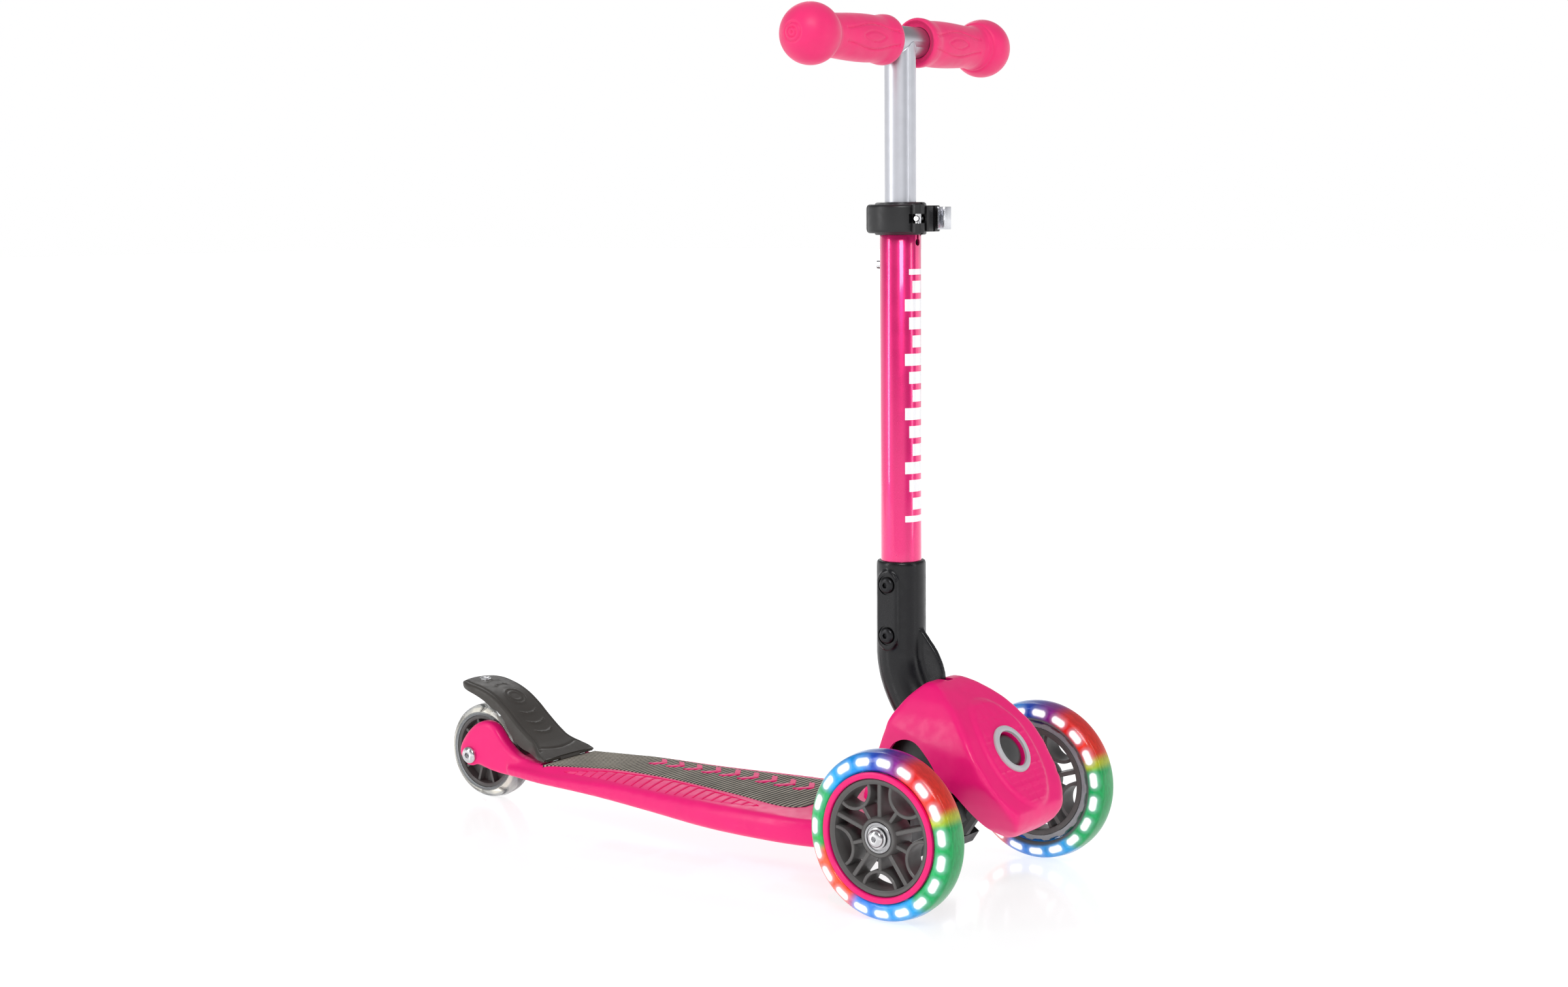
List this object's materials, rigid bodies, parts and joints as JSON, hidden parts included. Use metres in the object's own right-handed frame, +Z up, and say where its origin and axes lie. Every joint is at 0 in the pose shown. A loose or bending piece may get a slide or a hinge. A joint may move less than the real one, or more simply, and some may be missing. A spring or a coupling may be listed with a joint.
{
  "type": "kick scooter",
  "caption": "Child's folding kick scooter: steered front axle, lit clear front wheels, braked rear wheel, height-adjustable T-bar with ball-end grips.",
  "frame": {"origin": "on the ground at the centre of the object's footprint", "axes": "+X forward, +Y the rider's left, +Z up along the stem"},
  "size_m": [0.574, 0.2566, 0.628],
  "materials": {
    "clear_tyre": "clear soft polyurethane, glossy",
    "light_core": "translucent core band with light spots",
    "deck_pink": "satin moulded",
    "cover_pink": "satin moulded",
    "grip_pink": "soft matte rubber",
    "pad_grey": "ridged anti-slip rubber with pink marks",
    "painted_pink": "glossy paint with pearl",
    "silver": "satin anodised",
    "black_plastic": "fine satin grain",
    "black_steel": "black oxide",
    "rim_grey": "satin moulded",
    "brake_grey": "matte moulded",
    "bezel_grey": "satin moulded",
    "bumper_rubber": "matte",
    "bright_steel": "zinc plated, bright"
  },
  "bodies": {
    "deck": {"deck": "deck_pink", "grip_pad": "pad_grey", "front_frame": "black_plastic", "cover": "cover_pink", "bezel": "bezel_grey", "button_guide": "black_plastic", "button_spring": "bright_steel", "hinge_pin": "bright_steel", "kingpin": "bright_steel", "kingpin_nut": "bright_steel", "frame_screw_left": "bright_steel", "frame_screw_right": "bright_steel", "steer_bumper_left": "bumper_rubber", "steer_bumper_right": "bumper_rubber", "brake_pin": "bright_steel", "brake_spring": "bright_steel", "rear_axle_bolt": "bright_steel", "rear_axle_nut": "bright_steel"},
    "truck": {"axle_carrier": "black_plastic", "axle_bolt_left": "bright_steel", "axle_bolt_right": "bright_steel"},
    "wheel_left": {"tyre_left": "clear_tyre", "light_ring_left": "light_core", "trim_ring_left": "cover_pink", "rim_left": "rim_grey", "bearing_outer_left": "bright_steel", "bearing_inner_left": "bright_steel", "magnet_spacer_left": "black_plastic"},
    "wheel_right": {"tyre_right": "clear_tyre", "light_ring_right": "light_core", "trim_ring_right": "cover_pink", "rim_right": "rim_grey", "bearing_outer_right": "bright_steel", "bearing_inner_right": "bright_steel", "magnet_spacer_right": "black_plastic"},
    "wheel_rear": {"tyre_rear": "clear_tyre", "rim_rear": "rim_grey", "bearing_rear_left": "bright_steel", "bearing_rear_right": "bright_steel", "spacer_rear": "bright_steel"},
    "stem": {"fold_bracket": "black_plastic", "bracket_bolt_upper": "black_steel", "bracket_bolt_lower": "black_steel", "stem_tube": "painted_pink", "stem_bush": "black_plastic", "clamp_collar": "black_plastic", "clamp_bolt": "bright_steel", "clamp_barrel": "bright_steel", "clamp_bracket": "bright_steel"},
    "clamp_lever": {"clamp_lever": "black_plastic"},
    "handlebar": {"t_bar": "silver", "grip_left": "grip_pink", "grip_right": "grip_pink", "height_spring": "bright_steel"},
    "height_pin": {"height_pin": "bright_steel"},
    "fold_button": {"fold_button": "black_plastic"},
    "brake": {"brake": "brake_grey", "brake_rivet": "bright_steel"}
  },
  "joints": [
    {"name": "steer", "type": "hinge", "parent": "deck", "child": "truck", "pos_m": [0.227, 0, 0.06], "axis": [0.5736, 0, 0.8192], "range_deg": [-14, 14], "stiffness_Nm_per_rad": 45, "deforming": ["steer_bumper_left", "steer_bumper_right"]},
    {"name": "front_wheel_left", "type": "hinge", "parent": "truck", "child": "wheel_left", "pos_m": [0.227, 0.1017, 0.06], "axis": [0, 1, 0], "continuous": true},
    {"name": "front_wheel_right", "type": "hinge", "parent": "truck", "child": "wheel_right", "pos_m": [0.227, -0.1017, 0.06], "axis": [0, 1, 0], "continuous": true},
    {"name": "rear_wheel", "type": "hinge", "parent": "deck", "child": "wheel_rear", "pos_m": [-0.247, 0, 0.04], "axis": [0, 1, 0], "continuous": true},
    {"name": "fold", "type": "hinge", "parent": "deck", "child": "stem", "pos_m": [0.205, 0, 0.106], "axis": [0, -1, 0], "range_deg": [0, 82]},
    {"name": "height", "type": "slide", "parent": "stem", "child": "handlebar", "axis": [0, 0, 1], "range_m": [-0.07, 0]},
    {"name": "clamp_lever_swing", "type": "hinge", "parent": "stem", "child": "clamp_lever", "pos_m": [0.194, -0.013, 0.4818], "axis": [0, 0, 1], "range_deg": [0, 110]},
    {"name": "brake_press", "type": "hinge", "parent": "deck", "child": "brake", "pos_m": [-0.163, 0, 0.0445], "axis": [0, -1, 0], "range_deg": [0, 8], "stiffness_Nm_per_rad": 6, "springref_deg": -11.46, "deforming": ["brake_spring"]},
    {"name": "fold_button_press", "type": "slide", "parent": "deck", "child": "fold_button", "axis": [-0.8387, 0, -0.5446], "range_m": [0, 0.005], "stiffness_N_per_m": 600, "springref_m": -0.004, "deforming": ["button_spring"]},
    {"name": "height_pin_press", "type": "slide", "parent": "handlebar", "child": "height_pin", "axis": [1, 0, 0], "range_m": [0, 0.005], "stiffness_N_per_m": 400, "springref_m": -0.004, "deforming": ["height_spring"]}
  ]
}
